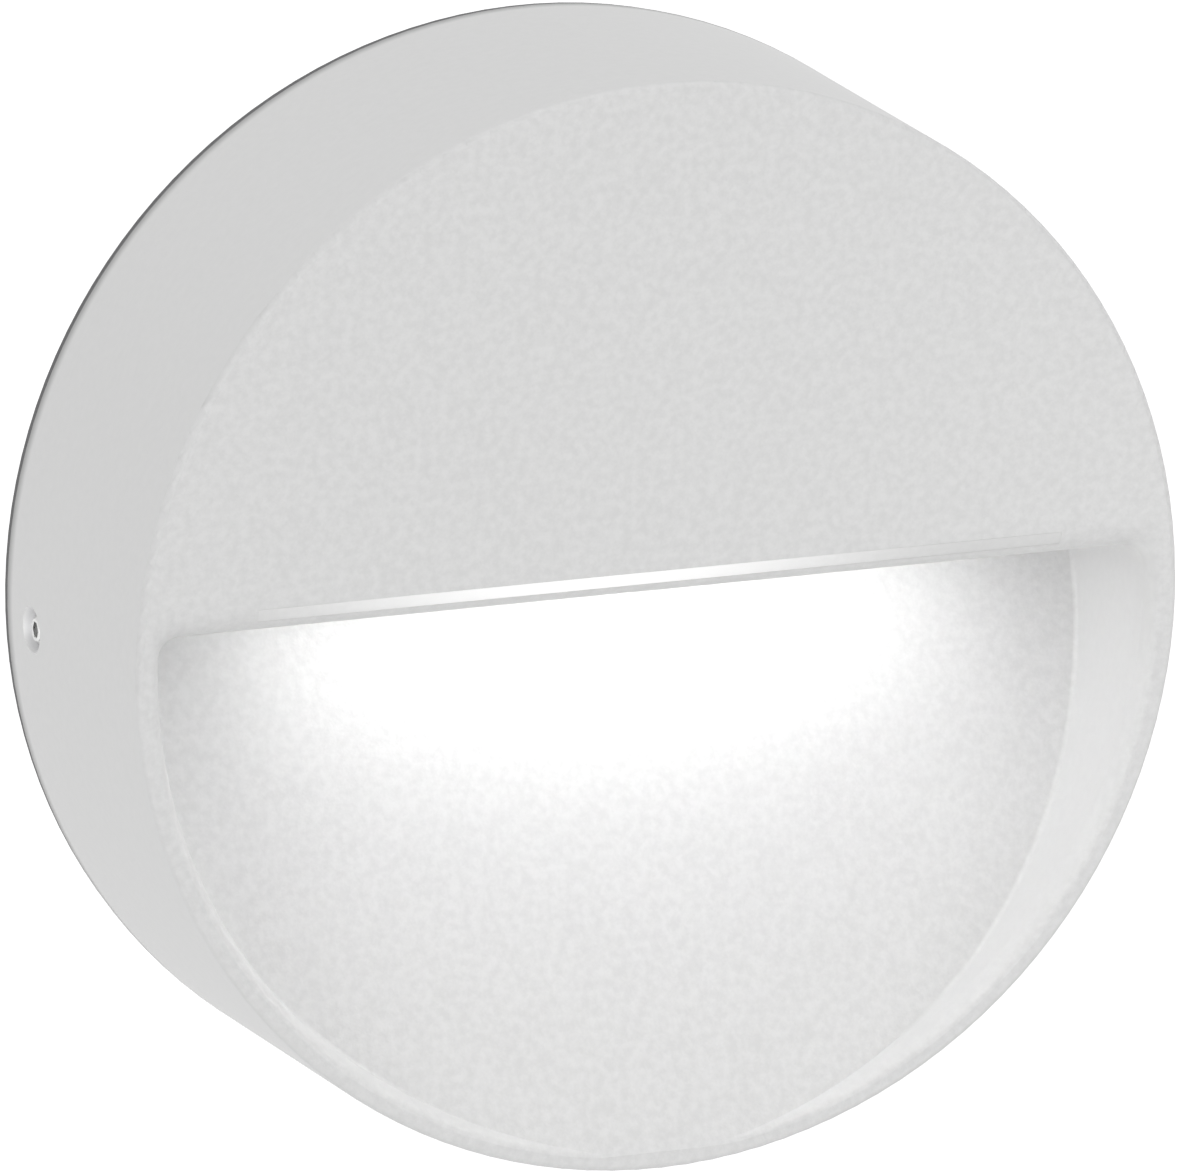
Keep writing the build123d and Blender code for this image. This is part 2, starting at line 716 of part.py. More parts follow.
# Grub screws of the terminals, slotted, down to the sleeve's bore
clamp_screw_l = pole_h - wire_h - sleeve_bore / 2 - clamp_screw_sink
with BuildPart() as clamp_screws:
    with BuildSketch(facing_wall(wire_out - sleeve_bore / 2)):
        with Locations(*[(side * clamp_screw_x, z) for side in (-1, 1) for z in pole_zs]):
            Circle(clamp_screw_d / 2 - thread_fit)
    extrude(amount=clamp_screw_l)
    with BuildSketch(facing_wall(wire_out - sleeve_bore / 2 - clamp_screw_l)):
        with Locations(*[(side * clamp_screw_x, z) for side in (-1, 1) for z in pole_zs]):
            Rectangle(clamp_slot_w, clamp_screw_d)
    extrude(amount=-clamp_slot_depth, mode=Mode.SUBTRACT)
save(clamp_screws, "clamp_screws")

with BuildPart(facing_wall(web_top)) as terminal_fixing_screws:
    with Locations(*[(0, z) for z in web_zs]):
        add(machine_screw(m25, web_h + blind_depth - tip_room))
save(terminal_fixing_screws, "terminal_fixing_screws")

# Rubber grommet that carries the two mains leads through the cover
with BuildPart() as lead_grommet:
    with BuildSketch(facing_room(wiring_depth - grommet_flange_t)):
        with Locations((grommet_x, grommet_z)):
            Circle(grommet_d / 2 + grommet_flange)
    extrude(amount=cover_t + 2 * grommet_flange_t)
    with BuildSketch(facing_room(wiring_depth)):
        with Locations((grommet_x, grommet_z)):
            Circle(grommet_d / 2 + grommet_flange)
            Circle(grommet_d / 2, mode=Mode.SUBTRACT)
    extrude(amount=cover_t, mode=Mode.SUBTRACT)
    with BuildSketch(facing_room(wiring_depth - grommet_flange_t)):
        with Locations((grommet_x, grommet_z)):
            with GridLocations(lead_gap, 1, 2, 1):
                Circle(mains_lead_d / 2 + lead_fit)
    extrude(amount=cover_t + 2 * grommet_flange_t, mode=Mode.SUBTRACT)
save(lead_grommet, "lead_grommet")

# Inner leads, as (x, out, z) points: terminals to driver, and driver to board
lead_start_x = block_w / 2 - lead_insert
driver_end_x = driver_l / 2
inside_out = seal_out + mains_run
neutral_x = grommet_x - lead_gap / 2
live_x = grommet_x + lead_gap / 2
neutral_turn_x = (block_w / 2 + neutral_x) / 2
live_turn_x = (block_w / 2 + live_x) / 2
neutral_entry_z = driver_z - neutral_drop
live_entry_z = driver_z - live_drop
neutral_lead = lead(
    [
        (lead_start_x, wire_out, pole_zs[0]),
        (neutral_turn_x, wire_out, pole_zs[0]),
        (neutral_x, wire_out, grommet_z),
        (neutral_x, inside_out, grommet_z),
        (neutral_x, inside_out, neutral_entry_z),
        (driver_end_x, inside_out, neutral_entry_z),
    ],
    mains_lead_d,
    neutral_bends,
)
save(neutral_lead, "neutral_lead")

live_lead = lead(
    [
        (lead_start_x, wire_out, pole_zs[1]),
        (live_turn_x, wire_out, pole_zs[1]),
        (live_x, wire_out, grommet_z),
        (live_x, inside_out, grommet_z),
        (live_x, inside_out, live_entry_z),
        (driver_end_x, inside_out, live_entry_z),
    ],
    mains_lead_d,
    live_bends,
)
save(live_lead, "live_lead")

earth_tag_out = pad_out - earth_tag_t
barrel_out = pad_out - earth_barrel_d / 2
barrel_x = earth_x - earth_tag_d / 2 - earth_barrel_gap
earth_lead = lead(
    [
        (lead_start_x, wire_out, earth_z),
        (block_w / 2 + earth_straight, wire_out, earth_z),
        (barrel_x - earth_barrel_l - earth_straight, barrel_out, earth_z),
        (barrel_x, barrel_out, earth_z),
    ],
    mains_lead_d,
    earth_bends,
)
save(earth_lead, "earth_lead")

led_entry_z = board_z - connector_h / 2
positive_out = seal_out + positive_run
negative_out = seal_out + negative_run
positive_x = connector_x + connector_pin
negative_x = connector_x - connector_pin
led_positive_lead = lead(
    [
        (-driver_end_x, positive_out, neutral_entry_z),
        (-driver_end_x - positive_side, positive_out, neutral_entry_z),
        (-driver_end_x - positive_side, positive_out, led_entry_z),
        (positive_x, positive_out, led_entry_z),
        (positive_x, connector_out, led_entry_z),
    ],
    led_lead_d,
    led_bends,
)
save(led_positive_lead, "led_positive_lead")

led_negative_lead = lead(
    [
        (-driver_end_x, negative_out, live_entry_z),
        (-driver_end_x - negative_side, negative_out, live_entry_z),
        (-driver_end_x - negative_side, negative_out, led_entry_z),
        (negative_x, negative_out, led_entry_z),
        (negative_x, connector_out, led_entry_z),
    ],
    led_lead_d,
    led_bends,
)
save(led_negative_lead, "led_negative_lead")

# Ring terminal on the cover's earth pad, with a crimped barrel round the lead
with BuildPart() as earth_tag:
    with BuildSketch(facing_room(earth_tag_out)):
        with Locations((earth_x, earth_z)):
            Circle(earth_tag_d / 2)
        with Locations(((barrel_x - earth_barrel_l / 2 + earth_x) / 2, earth_z)):
            Rectangle(earth_x - barrel_x + earth_barrel_l / 2, earth_barrel_d)
        with Locations((earth_x, earth_z)):
            Circle(m4[0] / 2 + clear_fit, mode=Mode.SUBTRACT)
    extrude(amount=earth_tag_t)
    with BuildSketch(Plane.YZ.offset(barrel_x)):
        with Locations((-barrel_out, earth_z)):
            Circle(earth_barrel_d / 2)
    extrude(amount=-earth_barrel_l)
    with BuildSketch(Plane.YZ.offset(barrel_x)):
        with Locations((-barrel_out, earth_z)):
            Circle(mains_lead_d / 2 + lead_fit)
    extrude(amount=-earth_barrel_l, mode=Mode.SUBTRACT)
save(earth_tag, "earth_tag")

with BuildPart(facing_wall(earth_tag_out)) as earth_screw:
    with Locations((-earth_x, earth_z)):
        add(machine_screw(m4, earth_tag_t + blind_depth - tip_room))
save(earth_screw, "earth_screw")

# Strap on the wall: two ears bent towards the room, slots for the wall screws, and a raised
# seat for the cable grommet. A notch in each ear, open to the room, takes a set screw's point.
neck_low = set_z - ear_w / 2
neck_high = set_z + ear_w / 2
with BuildPart() as mounting_bracket:
    with BuildSketch(Plane.XY.offset(-strap_w)) as channel:
        with BuildLine():
            Polyline(
                (-ear_x, -ear_tip),
                (-ear_x, 0),
                (ear_x, 0),
                (ear_x, -ear_tip),
                (ear_x - strap_t, -ear_tip),
                (ear_x - strap_t, -strap_t),
                (-ear_x + strap_t, -strap_t),
                (-ear_x + strap_t, -ear_tip),
                close=True,
            )
        make_face()
        fillet(channel.vertices().group_by(Axis.Y)[-1], bend_r + strap_t)
        fillet(channel.vertices().filter_by_position(Axis.Y, -strap_t, -strap_t), bend_r)
    extrude(amount=2 * strap_w)
    with BuildSketch(facing_room(0)):
        Polygon(
            (-drum_r, neck_low),
            (-strap_neck_x, neck_low),
            (-strap_shoulder_x, -strap_w / 2),
            (strap_shoulder_x, -strap_w / 2),
            (strap_neck_x, neck_low),
            (drum_r, neck_low),
            (drum_r, neck_high),
            (strap_neck_x, neck_high),
            (strap_shoulder_x, strap_w / 2),
            (-strap_shoulder_x, strap_w / 2),
            (-strap_neck_x, neck_high),
            (-drum_r, neck_high),
            align=None,
        )
    extrude(amount=wiring_depth, mode=Mode.INTERSECT)
    with BuildSketch(facing_room(0)):
        Circle(dome_d / 2)
    extrude(amount=dome_top)
    with BuildSketch(facing_room(0)):
        Circle(dome_d / 2 - strap_t)
    extrude(amount=dome_h, mode=Mode.SUBTRACT)
    with BuildSketch(facing_room(0)):
        Circle(cable_hole_d / 2)
        with GridLocations(slot_span, 1, 2, 1):
            SlotOverall(slot_l, slot_w)
    extrude(amount=dome_top, mode=Mode.SUBTRACT)
    with BuildSketch(Plane.YZ):
        with Locations((-set_out, set_z)):
            Circle(set_point_d / 2 + notch_fit)
            Rectangle(wiring_depth, set_point_d + 2 * notch_fit, align=(Align.MAX, Align.CENTER))
    extrude(amount=drum_r, both=True, mode=Mode.SUBTRACT)
save(mounting_bracket, "mounting_bracket")

# Grommet in the raised seat, kept clear of the wall
cable_r = cable_hole_d / 2
with BuildPart() as cable_grommet:
    with BuildSketch(Plane.XY):
        with BuildLine():
            Polyline(
                (cable_bore_d / 2, -dome_h + cable_flange_t),
                (cable_r + cable_flange, -dome_h + cable_flange_t),
                (cable_r + cable_flange, -dome_h),
                (cable_r, -dome_h),
                (cable_r, -dome_top),
                (cable_r + cable_flange, -dome_top),
                (cable_r + cable_flange, -dome_top - cable_flange_t),
                (cable_bore_d / 2, -dome_top - cable_flange_t),
                close=True,
            )
        make_face()
    revolve(axis=Axis.Y)
save(cable_grommet, "cable_grommet")

# Dog-point set screws: hex socket at the drum's side, shoulder against the ear
for side, name in ((-1, "left_set_screw"), (1, "right_set_screw")):
    with BuildPart() as set_screw:
        with BuildSketch(Plane.YZ.offset(side * (ear_x + set_shoulder_gap))):
            with Locations((-set_out, set_z)):
                Circle(set_thread_d / 2 - set_fit)
        extrude(amount=side * (set_face_x - set_sink - ear_x - set_shoulder_gap))
        with BuildSketch(Plane.YZ.offset(side * (ear_x + set_shoulder_gap))):
            with Locations((-set_out, set_z)):
                Circle(set_point_d / 2)
        extrude(amount=-side * set_point_l)
        with BuildSketch(Plane.YZ.offset(side * (set_face_x - set_sink))):
            with Locations((-set_out, set_z)):
                RegularPolygon(hex_af / 2, 6, major_radius=False)
        extrude(amount=-side * hex_depth, mode=Mode.SUBTRACT)
    save(set_screw, name)
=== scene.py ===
import bmesh
import bpy
import math
import numpy as np
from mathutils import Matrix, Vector


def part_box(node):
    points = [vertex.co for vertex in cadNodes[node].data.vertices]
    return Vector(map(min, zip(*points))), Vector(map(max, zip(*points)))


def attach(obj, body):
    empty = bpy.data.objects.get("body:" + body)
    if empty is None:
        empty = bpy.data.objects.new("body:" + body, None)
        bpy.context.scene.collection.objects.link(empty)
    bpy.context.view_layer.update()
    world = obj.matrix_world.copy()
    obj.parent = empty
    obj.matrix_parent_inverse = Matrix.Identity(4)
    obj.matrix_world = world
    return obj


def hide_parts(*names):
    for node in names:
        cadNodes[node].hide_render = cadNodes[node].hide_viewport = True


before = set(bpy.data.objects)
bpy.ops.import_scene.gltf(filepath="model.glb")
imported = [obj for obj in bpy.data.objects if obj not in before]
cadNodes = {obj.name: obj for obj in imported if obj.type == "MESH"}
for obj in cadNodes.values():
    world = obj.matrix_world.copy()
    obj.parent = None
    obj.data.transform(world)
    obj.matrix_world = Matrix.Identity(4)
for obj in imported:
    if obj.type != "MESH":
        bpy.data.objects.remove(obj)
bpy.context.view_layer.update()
scene = bpy.context.scene
scene.view_settings.view_transform = "Standard"
print("frame loaded:", len(cadNodes), "nodes")

# camera, placed as the photograph was taken
cameraLook = {
    "azimuth": -21.702,  # degrees, left of straight on
    "elevation": 14.241,
    "target": (-0.000873, -0.02450, 0.0003195),
    "distance": 2.054,
    "lens": 470.5,  # millimetres, as the sensor
    "sensor": 36,
    "farthest": 50,
}


def faceAlong(thing, direction):
    thing.rotation_mode = "QUATERNION"
    thing.rotation_quaternion = direction.to_track_quat("-Z", "Y")


def addCamera(look):
    turn, rise = math.radians(look["azimuth"]), math.radians(look["elevation"])
    level = math.cos(rise)
    back = Vector((math.sin(turn) * level, -math.cos(turn) * level, math.sin(rise)))
    data = bpy.data.cameras.new("photoCamera")
    data.lens = look["lens"]
    data.sensor_width = look["sensor"]
    data.clip_end = look["farthest"]
    camera = bpy.data.objects.new("photoCamera", data)
    scene.collection.objects.link(camera)
    camera.location = Vector(look["target"]) + back * look["distance"]
    faceAlong(camera, -back)
    scene.camera = camera


addCamera(cameraLook)
print("camera placed")


# node helpers
def newFinish(name):
    finish = bpy.data.materials.new(name)
    finish.use_nodes = True
    return finish, finish.node_tree, finish.node_tree.nodes["Principled BSDF"]


def feed(tree, node, sockets):
    for key, value in sockets.items():
        if isinstance(value, bpy.types.NodeSocket):
            tree.links.new(value, node.inputs[key])
        else:
            node.inputs[key].default_value = value


def addNode(tree, kind, sockets=None, **settings):
    node = tree.nodes.new(kind)
    for key, value in settings.items():
        setattr(node, key, value)
    feed(tree, node, sockets or {})
    return node


def objectPlace(tree, stretch=None):
    place = addNode(tree, "ShaderNodeTexCoord").outputs["Object"]
    if stretch is None:
        return place
    return addNode(tree, "ShaderNodeMapping", {"Vector": place, "Scale": stretch}).outputs[0]


def axesOf(tree, vector):
    return addNode(tree, "ShaderNodeSeparateXYZ", {0: vector}).outputs


def noiseOf(tree, place, perMetre, detail=3.0, rough=0.55):
    sockets = {"Vector": place, "Scale": perMetre, "Detail": detail, "Roughness": rough}
    return addNode(tree, "ShaderNodeTexNoise", sockets).outputs["Fac"]


def tonesOf(tree, source, dark, light, low=0.32, high=0.68):
    ramp = addNode(tree, "ShaderNodeValToRGB", {"Fac": source})
    for element, place, tone in zip(ramp.color_ramp.elements, (low, high), (dark, light)):
        element.position = place
        element.color = (*tone, 1)
    return ramp.outputs["Color"]


def rangeOf(tree, source, low, high, fromLow=0.0, fromHigh=1.0, smooth=False):
    sockets = {"Value": source, "From Min": fromLow, "From Max": fromHigh, "To Min": low, "To Max": high}
    kind = "SMOOTHSTEP" if smooth else "LINEAR"
    return addNode(tree, "ShaderNodeMapRange", sockets, interpolation_type=kind).outputs[0]


def mathOf(tree, operation, first, second=0.0):
    return addNode(tree, "ShaderNodeMath", {0: first, 1: second}, operation=operation).outputs[0]


def vectorMathOf(tree, operation, sockets):
    return addNode(tree, "ShaderNodeVectorMath", sockets, operation=operation).outputs


def mixOf(tree, share, first, second):
    return addNode(tree, "ShaderNodeMix", {0: share, 2: first, 3: second}, data_type="FLOAT").outputs[0]


def mixTones(tree, share, first, second):
    return addNode(tree, "ShaderNodeMix", {0: share, 6: first, 7: second}, data_type="RGBA").outputs[2]


def reliefOf(tree, height, depth, strength=1.0):
    sockets = {"Height": height, "Distance": depth, "Strength": strength}
    return addNode(tree, "ShaderNodeBump", sockets).outputs[0]


def dress(finish, names):
    for name in names:
        data = cadNodes[name].data
        data.materials.clear()
        data.materials.append(finish)


def grainFinish(look):
    # one noise drives tone, gloss and relief: tone = dark + (light - dark) * grain
    finish, tree, shader = newFinish(look["name"])
    grain = noiseOf(tree, objectPlace(tree, look.get("stretch")), look["perMetre"])
    feed(tree, shader, {
        "Base Color": tonesOf(tree, grain, look["dark"], look["light"]),
        "Roughness": rangeOf(tree, grain, *look["rough"]),
        "Normal": reliefOf(tree, grain, look["relief"]),
        "Metallic": look.get("metal", 0.0),
    })
    dress(finish, look.get("nodes", []))
    return finish


# cast housing: white powder coat, orange-peel texture that shows most on faces towards the room,
# painted shade along the wall joint, and bare metal in the countersinks, which are cut after coating,
# with a painted highlight on their rims
coatLook = {
    "dark": (0.742, 0.742, 0.740),
    "light": (0.803, 0.803, 0.801),
    "toneEnds": (0.36, 0.64),  # texture heights at which the tones end
    "middle": 0.5,  # texture height of the plain tone
    "blotch": {"perMetre": 820, "detail": 2.0, "rough": 0.5},
    "speck": {"perMetre": 2600, "detail": 2.0, "rough": 0.6},
    "blotchShare": 0.72,
    "speckShare": 0.28,
    "sideShare": 0.25,  # share of the texture left on the drum's side
    "roomEnds": (-0.9, -0.2),  # Y of the normals between which the texture fades
    "relief": 0.00006,
    "rough": 0.5,
    "paintedShadeTone": 0.5,  # painted shade: share of the tone left at the wall joint
    "paintedShadeFrom": 0.0012,  # distance from the wall
    "paintedShadeTo": 0.0037,
    "sinkRadius": 0.00322,
    "sinkBeyond": 0.07,  # the countersinks lie further than this from the middle plane
    "bareDark": (0.55, 0.55, 0.555),
    "paintedRimHighlight": (0.64, 0.64, 0.64),  # painted highlight: lighter tone on the countersink's rim
    "paintedHighlightFrom": 0.00260,
    "paintedHighlightTo": 0.00315,
    "bareRough": 0.58,
}


def peelOf(tree, place, look):
    # peel = blotchShare * blotch + speckShare * speck
    blotch = mathOf(tree, "MULTIPLY", noiseOf(tree, place, **look["blotch"]), look["blotchShare"])
    speck = mathOf(tree, "MULTIPLY", noiseOf(tree, place, **look["speck"]), look["speckShare"])
    return mathOf(tree, "ADD", blotch, speck)


def screwAxisAway(tree):
    # distance to the set screws' common axis, which runs along X
    low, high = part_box("left_set_screw")
    axis = (0.0, (low[1] + high[1]) / 2, (low[2] + high[2]) / 2)
    side = objectPlace(tree, (0, 1, 1))
    return vectorMathOf(tree, "DISTANCE", {0: side, 1: axis})["Value"]


def powderCoat(look):
    finish, tree, shader = newFinish("whitePowderCoat")
    place = objectPlace(tree)
    axes = axesOf(tree, place)
    peel = peelOf(tree, place, look)
    facing = axesOf(tree, addNode(tree, "ShaderNodeTexCoord").outputs["Normal"])["Y"]
    towardsRoom = rangeOf(tree, facing, 1.0, look["sideShare"], *look["roomEnds"])
    mottle = mixOf(tree, towardsRoom, look["middle"], peel)
    coat = tonesOf(tree, mottle, look["dark"], look["light"], *look["toneEnds"])
    # painted shade: the coat darkens smoothly to half its tone close to the wall
    out = mathOf(tree, "MULTIPLY", axes["Y"], -1.0)
    paintedJointShade = rangeOf(tree, out, look["paintedShadeTone"], 1.0, look["paintedShadeFrom"], look["paintedShadeTo"], True)
    coat = vectorMathOf(tree, "SCALE", {0: coat, 3: paintedJointShade})[0]
    away = screwAxisAway(tree)
    outer = mathOf(tree, "GREATER_THAN", mathOf(tree, "ABSOLUTE", axes["X"]), look["sinkBeyond"])
    bare = mathOf(tree, "MULTIPLY", mathOf(tree, "LESS_THAN", away, look["sinkRadius"]), outer)
    # painted highlight: the bare metal turns lighter towards the countersink's rim
    paintedRimHighlightShare = rangeOf(tree, away, 0.0, 1.0, look["paintedHighlightFrom"], look["paintedHighlightTo"])
    metal = tonesOf(tree, paintedRimHighlightShare, look["bareDark"], look["paintedRimHighlight"], 0.0, 1.0)
    feed(tree, shader, {
        "Base Color": mixTones(tree, bare, coat, metal),
        "Metallic": bare,
        "Roughness": mixOf(tree, bare, look["rough"], look["bareRough"]),
        "Normal": reliefOf(tree, peel, look["relief"], towardsRoom),
    })
    dress(finish, ["housing"])


powderCoat(coatLook)

# opal diffuser: glows through the hood's window, and more faintly along its front edge
diffuserLook = {
    "dark": (0.755, 0.755, 0.752),
    "light": (0.785, 0.785, 0.782),
    "perMetre": 900,
    "rough": 0.45,
    "glowTint": (1.0, 0.998, 0.993, 1),
    "window": {"middle": 0.003, "reach": 0.056, "strength": 11.5},
    "windowBase": 11.5,  # even share of the glow, along the whole strip
    "windowFrom": 0.0390,  # the strip shines from its front part, this far out from the wall
    "windowTo": 0.0418,
    "edge": {"middle": -0.010, "reach": 0.056, "strength": 0.42},
    "edgeFrom": 0.0440,  # distance from the wall where the edge glow takes over
    "edgeTo": 0.0456,
}


def glowOf(tree, x, middle, reach, strength):
    # bell along the strip: strength * smoothstep(1 - |x - middle| / reach)
    away = mathOf(tree, "ABSOLUTE", mathOf(tree, "SUBTRACT", x, middle))
    return rangeOf(tree, away, strength, 0.0, 0.0, reach, True)


def opalFinish(look):
    finish, tree, shader = newFinish("opalDiffuser")
    place = objectPlace(tree)
    axes = axesOf(tree, place)
    out = mathOf(tree, "MULTIPLY", axes["Y"], -1.0)
    window = mathOf(tree, "ADD", glowOf(tree, axes["X"], **look["window"]), look["windowBase"])
    lit = rangeOf(tree, out, 0.0, 1.0, look["windowFrom"], look["windowTo"], True)
    edge = glowOf(tree, axes["X"], **look["edge"])
    edgeShare = rangeOf(tree, out, 0.0, 1.0, look["edgeFrom"], look["edgeTo"], True)
    grain = noiseOf(tree, place, look["perMetre"])
    feed(tree, shader, {
        "Base Color": tonesOf(tree, grain, look["dark"], look["light"]),
        "Roughness": look["rough"],
        "Emission Color": look["glowTint"],
        "Emission Strength": mixOf(tree, edgeShare, mathOf(tree, "MULTIPLY", window, lit), edge),
    })
    dress(finish, ["diffuser"])


opalFinish(diffuserLook)

# seals and pads
grainFinish({
    "name": "darkRubber", "nodes": ["wall_gasket", "cable_grommet", "lead_grommet"],
    "dark": (0.12, 0.12, 0.123), "light": (0.17, 0.17, 0.173),
    "perMetre": 2200, "rough": (0.62, 0.85), "relief": 0.00004,
})
grainFinish({
    "name": "paleSilicone", "nodes": ["diffuser_gasket", "cover_seal"],
    "dark": (0.62, 0.62, 0.60), "light": (0.74, 0.74, 0.72),
    "perMetre": 700, "rough": (0.45, 0.65), "relief": 0.00002,
})
grainFinish({
    "name": "thermalPad", "nodes": ["thermal_pad"],
    "dark": (0.30, 0.32, 0.34), "light": (0.46, 0.48, 0.50),
    "perMetre": 3000, "rough": (0.6, 0.8), "relief": 0.00003,
})

# sheet metal: rolling lines run along X
grainFinish({
    "name": "rolledAluminium", "nodes": ["rear_cover", "led_carrier"],
    "dark": (0.60, 0.61, 0.62), "light": (0.75, 0.76, 0.77), "metal": 1.0,
    "perMetre": 1500, "stretch": (0.03, 1, 1), "rough": (0.26, 0.42), "relief": 0.000012,
})
grainFinish({
    "name": "zincPlate",
    "nodes": [
        "mounting_bracket", "board_screws", "carrier_screws", "cover_screws", "driver_screws",
        "clamp_screws", "terminal_fixing_screws", "earth_screw", "earth_tag",
    ],
    "dark": (0.56, 0.57, 0.60), "light": (0.70, 0.70, 0.69), "metal": 1.0,
    "perMetre": 420, "rough": (0.24, 0.44), "relief": 0.000012,
})
grainFinish({
    "name": "clampBrass", "nodes": ["clamp_sleeves"],
    "dark": (0.66, 0.47, 0.20), "light": (0.80, 0.61, 0.29), "metal": 1.0,
    "perMetre": 1200, "stretch": (1, 0.2, 0.2), "rough": (0.25, 0.40), "relief": 0.00001,
})

# mouldings, board and chips
grainFinish({
    "name": "whiteMoulding", "nodes": ["light_box", "board_connector"],
    "dark": (0.80, 0.80, 0.79), "light": (0.88, 0.88, 0.87),
    "perMetre": 2400, "rough": (0.40, 0.55), "relief": 0.00002,
})
grainFinish({
    "name": "driverMoulding", "nodes": ["driver_case", "driver_lid"],
    "dark": (0.70, 0.70, 0.67), "light": (0.80, 0.80, 0.77),
    "perMetre": 1800, "rough": (0.48, 0.66), "relief": 0.00004,
})
grainFinish({
    "name": "terminalNylon", "nodes": ["terminal_block"],
    "dark": (0.70, 0.68, 0.60), "light": (0.80, 0.78, 0.70),
    "perMetre": 900, "rough": (0.35, 0.50), "relief": 0.00002,
})
grainFinish({
    "name": "solderMask", "nodes": ["led_board"],
    "dark": (0.80, 0.80, 0.77), "light": (0.88, 0.88, 0.85),
    "perMetre": 500, "stretch": (0.2, 1, 1), "rough": (0.28, 0.40), "relief": 0.00002,
})
grainFinish({
    "name": "chipPhosphor", "nodes": ["led_chips"],
    "dark": (0.86, 0.62, 0.12), "light": (0.93, 0.76, 0.26),
    "perMetre": 5000, "rough": (0.35, 0.55), "relief": 0.00002,
})

# lead insulation
leadLook = {"perMetre": 1400, "rough": (0.30, 0.46), "relief": 0.00002}
for name, node, dark, light in (
    ("brownLead", "live_lead", (0.14, 0.06, 0.03), (0.22, 0.10, 0.05)),
    ("blueLead", "neutral_lead", (0.03, 0.11, 0.42), (0.06, 0.17, 0.56)),
    ("redLead", "led_positive_lead", (0.44, 0.02, 0.02), (0.60, 0.05, 0.04)),
    ("blackLead", "led_negative_lead", (0.012, 0.012, 0.013), (0.035, 0.035, 0.036)),
):
    grainFinish({"name": name, "nodes": [node], "dark": dark, "light": light, **leadLook})

earthLook = {
    "green": (0.05, 0.30, 0.06),
    "yellow": (0.78, 0.62, 0.05),
    "axisHeight": 0.0500,
    "blend": 0.00012,
    **leadLook,
}


def earthInsulation(look):
    # yellow above the lead's axis, green below it
    finish, tree, shader = newFinish("earthLead")
    place = objectPlace(tree)
    low, high = look["axisHeight"] - look["blend"], look["axisHeight"] + look["blend"]
    upper = rangeOf(tree, axesOf(tree, place)["Z"], 0.0, 1.0, low, high)
    grain = noiseOf(tree, place, look["perMetre"])
    feed(tree, shader, {
        "Base Color": tonesOf(tree, upper, look["green"], look["yellow"], 0.0, 1.0),
        "Roughness": rangeOf(tree, grain, *look["rough"]),
        "Normal": reliefOf(tree, grain, look["relief"]),
    })
    dress(finish, ["earth_lead"])


earthInsulation(earthLook)
print("CAD nodes dressed")

# set screws: cut thread, hex socket and dog point, in place of the plain shanks
setScrewLook = {
    "crest": 0.00195,
    "root": 0.00158,
    "pitch": 0.0007,
    "flankTop": 1.25,  # where the sloped flanks would meet, in thread heights
    "flankSlope": 1.5,
    "chamfer": 0.0004,
    "chamferRise": 1.2,
    "endStep": 0.0001,  # thread starts this far below its root
    "pointRadius": 0.00125,
    "pointLength": 0.0024,
    "pointChamfer": 0.0002,
    "hexHalf": 0.0010,  # half the socket's width across flats
    "socketDepth": 0.0011,
    "socketCone": 0.0003,  # drill point below the socket's floor
    "socketChamfer": 0.0001,
    "around": 144,
    "along": 150,
    "sharpAngle": 32,  # degrees
    "weld": 1e-7,
}


def threadRadius(look, depth, length, turn):
    # r = root + (crest - root) * clip(flankTop - flankSlope * |2 * phase - 1|), chamfered at both ends
    phase = np.mod(depth[:, None] / look["pitch"] - turn[None, :] / (2 * np.pi), 1.0)
    height = np.clip(look["flankTop"] - np.abs(2 * phase - 1) * look["flankSlope"], 0, 1)
    thread = look["root"] + (look["crest"] - look["root"]) * height
    fromEnd = np.minimum(depth, length - depth)[:, None]
    rise = np.minimum(fromEnd / look["chamfer"], 1) * look["chamfer"] * look["chamferRise"]
    return np.minimum(thread, look["root"] - look["endStep"] + rise)


def setScrewSurface(look, length):
    # each row is a station along the axis and its radius at every angle t, from the socket's floor
    # to the point's tip; hex wall r = hexHalf / cos(t mod 60deg - 30deg)
    turn = np.linspace(0, 2 * np.pi, look["around"], endpoint=False)
    ring = 0 * turn
    hexWall = look["hexHalf"] / np.cos(np.mod(turn, np.pi / 3) - np.pi / 6)
    socket, chamfer = look["socketDepth"], look["socketChamfer"]
    head = [
        (socket + look["socketCone"], ring),
        (socket, hexWall),
        (chamfer, hexWall),
        (0.0, hexWall + chamfer),
    ]
    depth = np.linspace(0, length, look["along"])
    thread = threadRadius(look, depth, length, turn)
    tip, point, edge = length + look["pointLength"], look["pointRadius"], look["pointChamfer"]
    tail = [(length, ring + point), (tip - edge, ring + point), (tip, ring + point - edge), (tip, ring)]
    station = np.concatenate([[row[0] for row in head], depth, [row[0] for row in tail]])
    radius = np.vstack([[row[1] for row in head], thread, [row[1] for row in tail]])
    return station, radius, turn


def closeScrewSkin(data, look):
    # close the poles, turn the faces outwards and shade by angle
    work = bmesh.new()
    work.from_mesh(data)
    bmesh.ops.remove_doubles(work, verts=work.verts, dist=look["weld"])
    bmesh.ops.recalc_face_normals(work, faces=work.faces)
    work.to_mesh(data)
    work.free()
    data.set_sharp_from_angle(angle=math.radians(look["sharpAngle"]))


